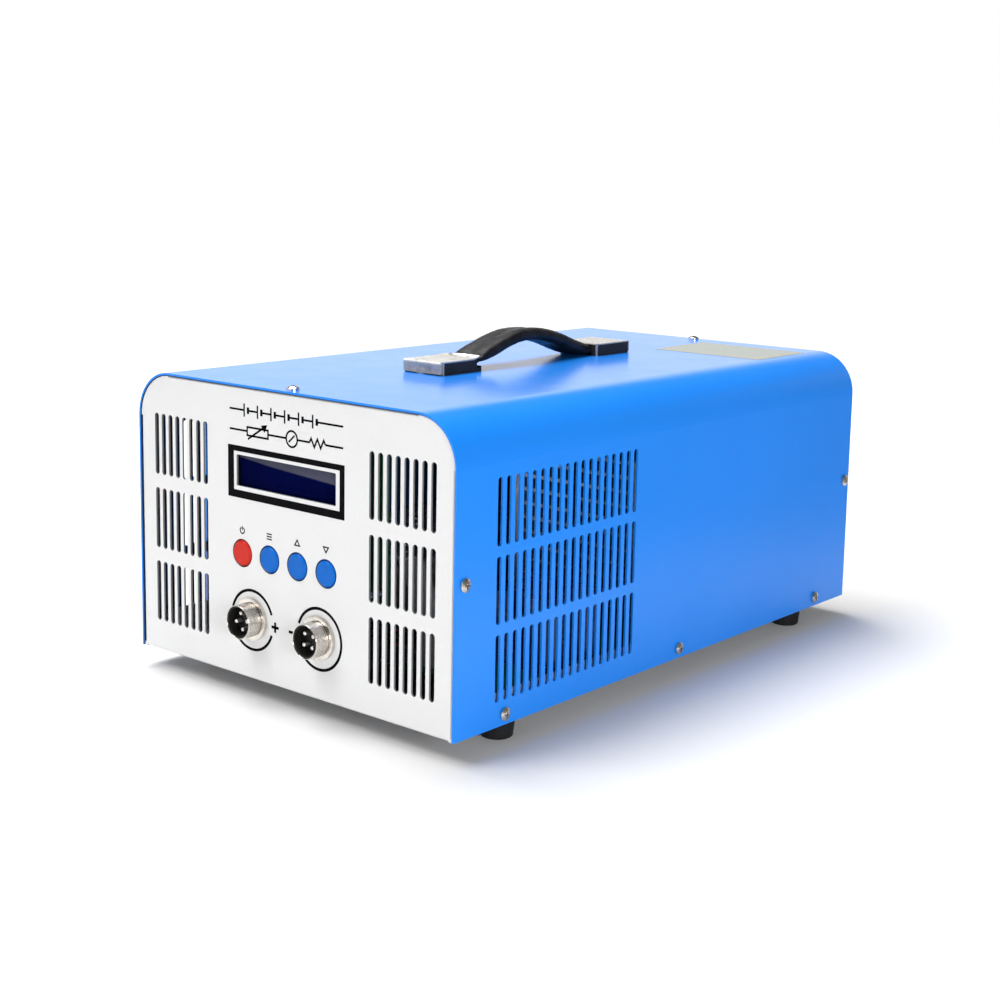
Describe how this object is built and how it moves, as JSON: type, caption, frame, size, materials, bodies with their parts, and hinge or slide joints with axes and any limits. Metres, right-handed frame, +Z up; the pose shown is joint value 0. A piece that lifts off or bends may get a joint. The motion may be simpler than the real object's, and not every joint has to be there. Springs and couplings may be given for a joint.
{
  "type": "battery capacity tester",
  "caption": "Bench battery capacity tester: folded vented steel case, carry strap, display, keys, two round battery sockets, fan-cooled load and mains inlet.",
  "frame": {"origin": "on the ground under the middle of the overall box, between the four feet", "axes": "+Z up, -Y out of the front panel with its display and sockets, +X to the right as seen from the front"},
  "size_m": [0.21, 0.3416, 0.165],
  "materials": {
    "cover_paint": "satin powder coat with a fine grain, bright blue",
    "panel_paint": "satin powder coat with a fine grain, white",
    "zinc_steel": "zinc-plated sheet and fasteners, dull",
    "nickel": "bright nickel plating with fine turning marks",
    "rubber_black": "matte moulded rubber",
    "strap_black": "soft black vinyl with a fine leather grain",
    "plastic_black": "matte moulded black plastic",
    "insulator_black": "matte black moulded phenolic",
    "key_red": "moulded red plastic, low gloss",
    "key_blue": "moulded blue plastic, low gloss",
    "rocker_red": "translucent red rocker",
    "clear_window": "clear polished window",
    "display_glass": "dark blue display glass",
    "bezel_black": "black painted stamped frame",
    "board_green": "green solder mask",
    "board_tan": "paper-based circuit board, tan",
    "component_black": "moulded black component body",
    "capacitor_sleeve": "dark blue printed-free sleeve",
    "relay_blue": "moulded blue case",
    "copper_wire": "enamelled copper wire",
    "brass": "plain brass",
    "aluminium": "extruded aluminium, natural",
    "lead_red": "red silicone lead",
    "lead_black": "black silicone lead",
    "lead_mains": "plastic-covered mains lead",
    "ribbon_grey": "grey flat cable",
    "fuse_glass": "clear fuse tube with plated ends",
    "port_white": "white moulded insert"
  },
  "bodies": {
    "case": {"top_cover": "cover_paint", "front_panel": "panel_paint", "rear_panel": "panel_paint", "base_tray": "zinc_steel", "cover_screws": "nickel", "panel_screws": "nickel", "rubber_feet": "rubber_black", "foot_screws": "zinc_steel", "foot_nuts": "zinc_steel", "handle_strap": "strap_black", "handle_cap_front": "nickel", "handle_cap_rear": "nickel", "handle_blocks": "plastic_black", "handle_screws": "zinc_steel", "display_window": "clear_window", "display_glass": "display_glass", "display_bezel": "bezel_black", "display_board": "board_green", "control_board": "board_green", "control_studs": "nickel", "control_screws": "zinc_steel", "key_switches": "component_black", "socket_shells": "nickel", "socket_inserts": "insulator_black", "socket_pins": "nickel", "socket_nuts": "nickel", "positive_leads": "lead_red", "negative_leads": "lead_black", "ribbon_cable": "ribbon_grey", "main_board": "board_green", "board_standoffs": "brass", "board_screws": "zinc_steel", "load_heatsinks": "aluminium", "power_transistors": "component_black", "bulk_capacitors": "capacitor_sleeve", "toroid_chokes": "copper_wire", "relays": "relay_blue", "supply_chassis": "aluminium", "supply_cage": "zinc_steel", "supply_board": "board_tan", "supply_transformer": "component_black", "supply_terminals": "plastic_black", "mains_leads": "lead_mains", "output_leads": "lead_red", "fan_frame": "plastic_black", "fan_guard": "nickel", "fan_screws": "nickel", "inlet_housing": "plastic_black", "inlet_blades": "nickel", "inlet_screws": "nickel", "link_port": "nickel", "link_tongue": "port_white"},
    "key_start": {"key_start": "key_red"},
    "key_set": {"key_set": "key_blue"},
    "key_up": {"key_up": "key_blue"},
    "key_down": {"key_down": "key_blue"},
    "fan": {"fan_rotor": "plastic_black"},
    "rocker": {"power_rocker": "rocker_red"},
    "drawer": {"fuse_drawer": "plastic_black", "fuse": "fuse_glass"}
  },
  "joints": [
    {"name": "key_start_press", "type": "slide", "parent": "case", "child": "key_start", "axis": [0, 1, 0], "range_m": [0, 0.0003], "stiffness_N_per_m": 4000, "springref_m": -0.0001},
    {"name": "key_set_press", "type": "slide", "parent": "case", "child": "key_set", "axis": [0, 1, 0], "range_m": [0, 0.0003], "stiffness_N_per_m": 4000, "springref_m": -0.0001},
    {"name": "key_up_press", "type": "slide", "parent": "case", "child": "key_up", "axis": [0, 1, 0], "range_m": [0, 0.0003], "stiffness_N_per_m": 4000, "springref_m": -0.0001},
    {"name": "key_down_press", "type": "slide", "parent": "case", "child": "key_down", "axis": [0, 1, 0], "range_m": [0, 0.0003], "stiffness_N_per_m": 4000, "springref_m": -0.0001},
    {"name": "fan_spin", "type": "hinge", "parent": "case", "child": "fan", "pos_m": [0.05, 0.15218, 0.07], "axis": [0, 1, 0], "continuous": true},
    {"name": "rocker_tilt", "type": "hinge", "parent": "case", "child": "rocker", "pos_m": [-0.052, 0.16518, 0.0755], "axis": [1, 0, 0], "range_deg": [0, 20]},
    {"name": "drawer_slide", "type": "slide", "parent": "case", "child": "drawer", "axis": [0, 1, 0], "range_m": [0, 0.02]}
  ]
}
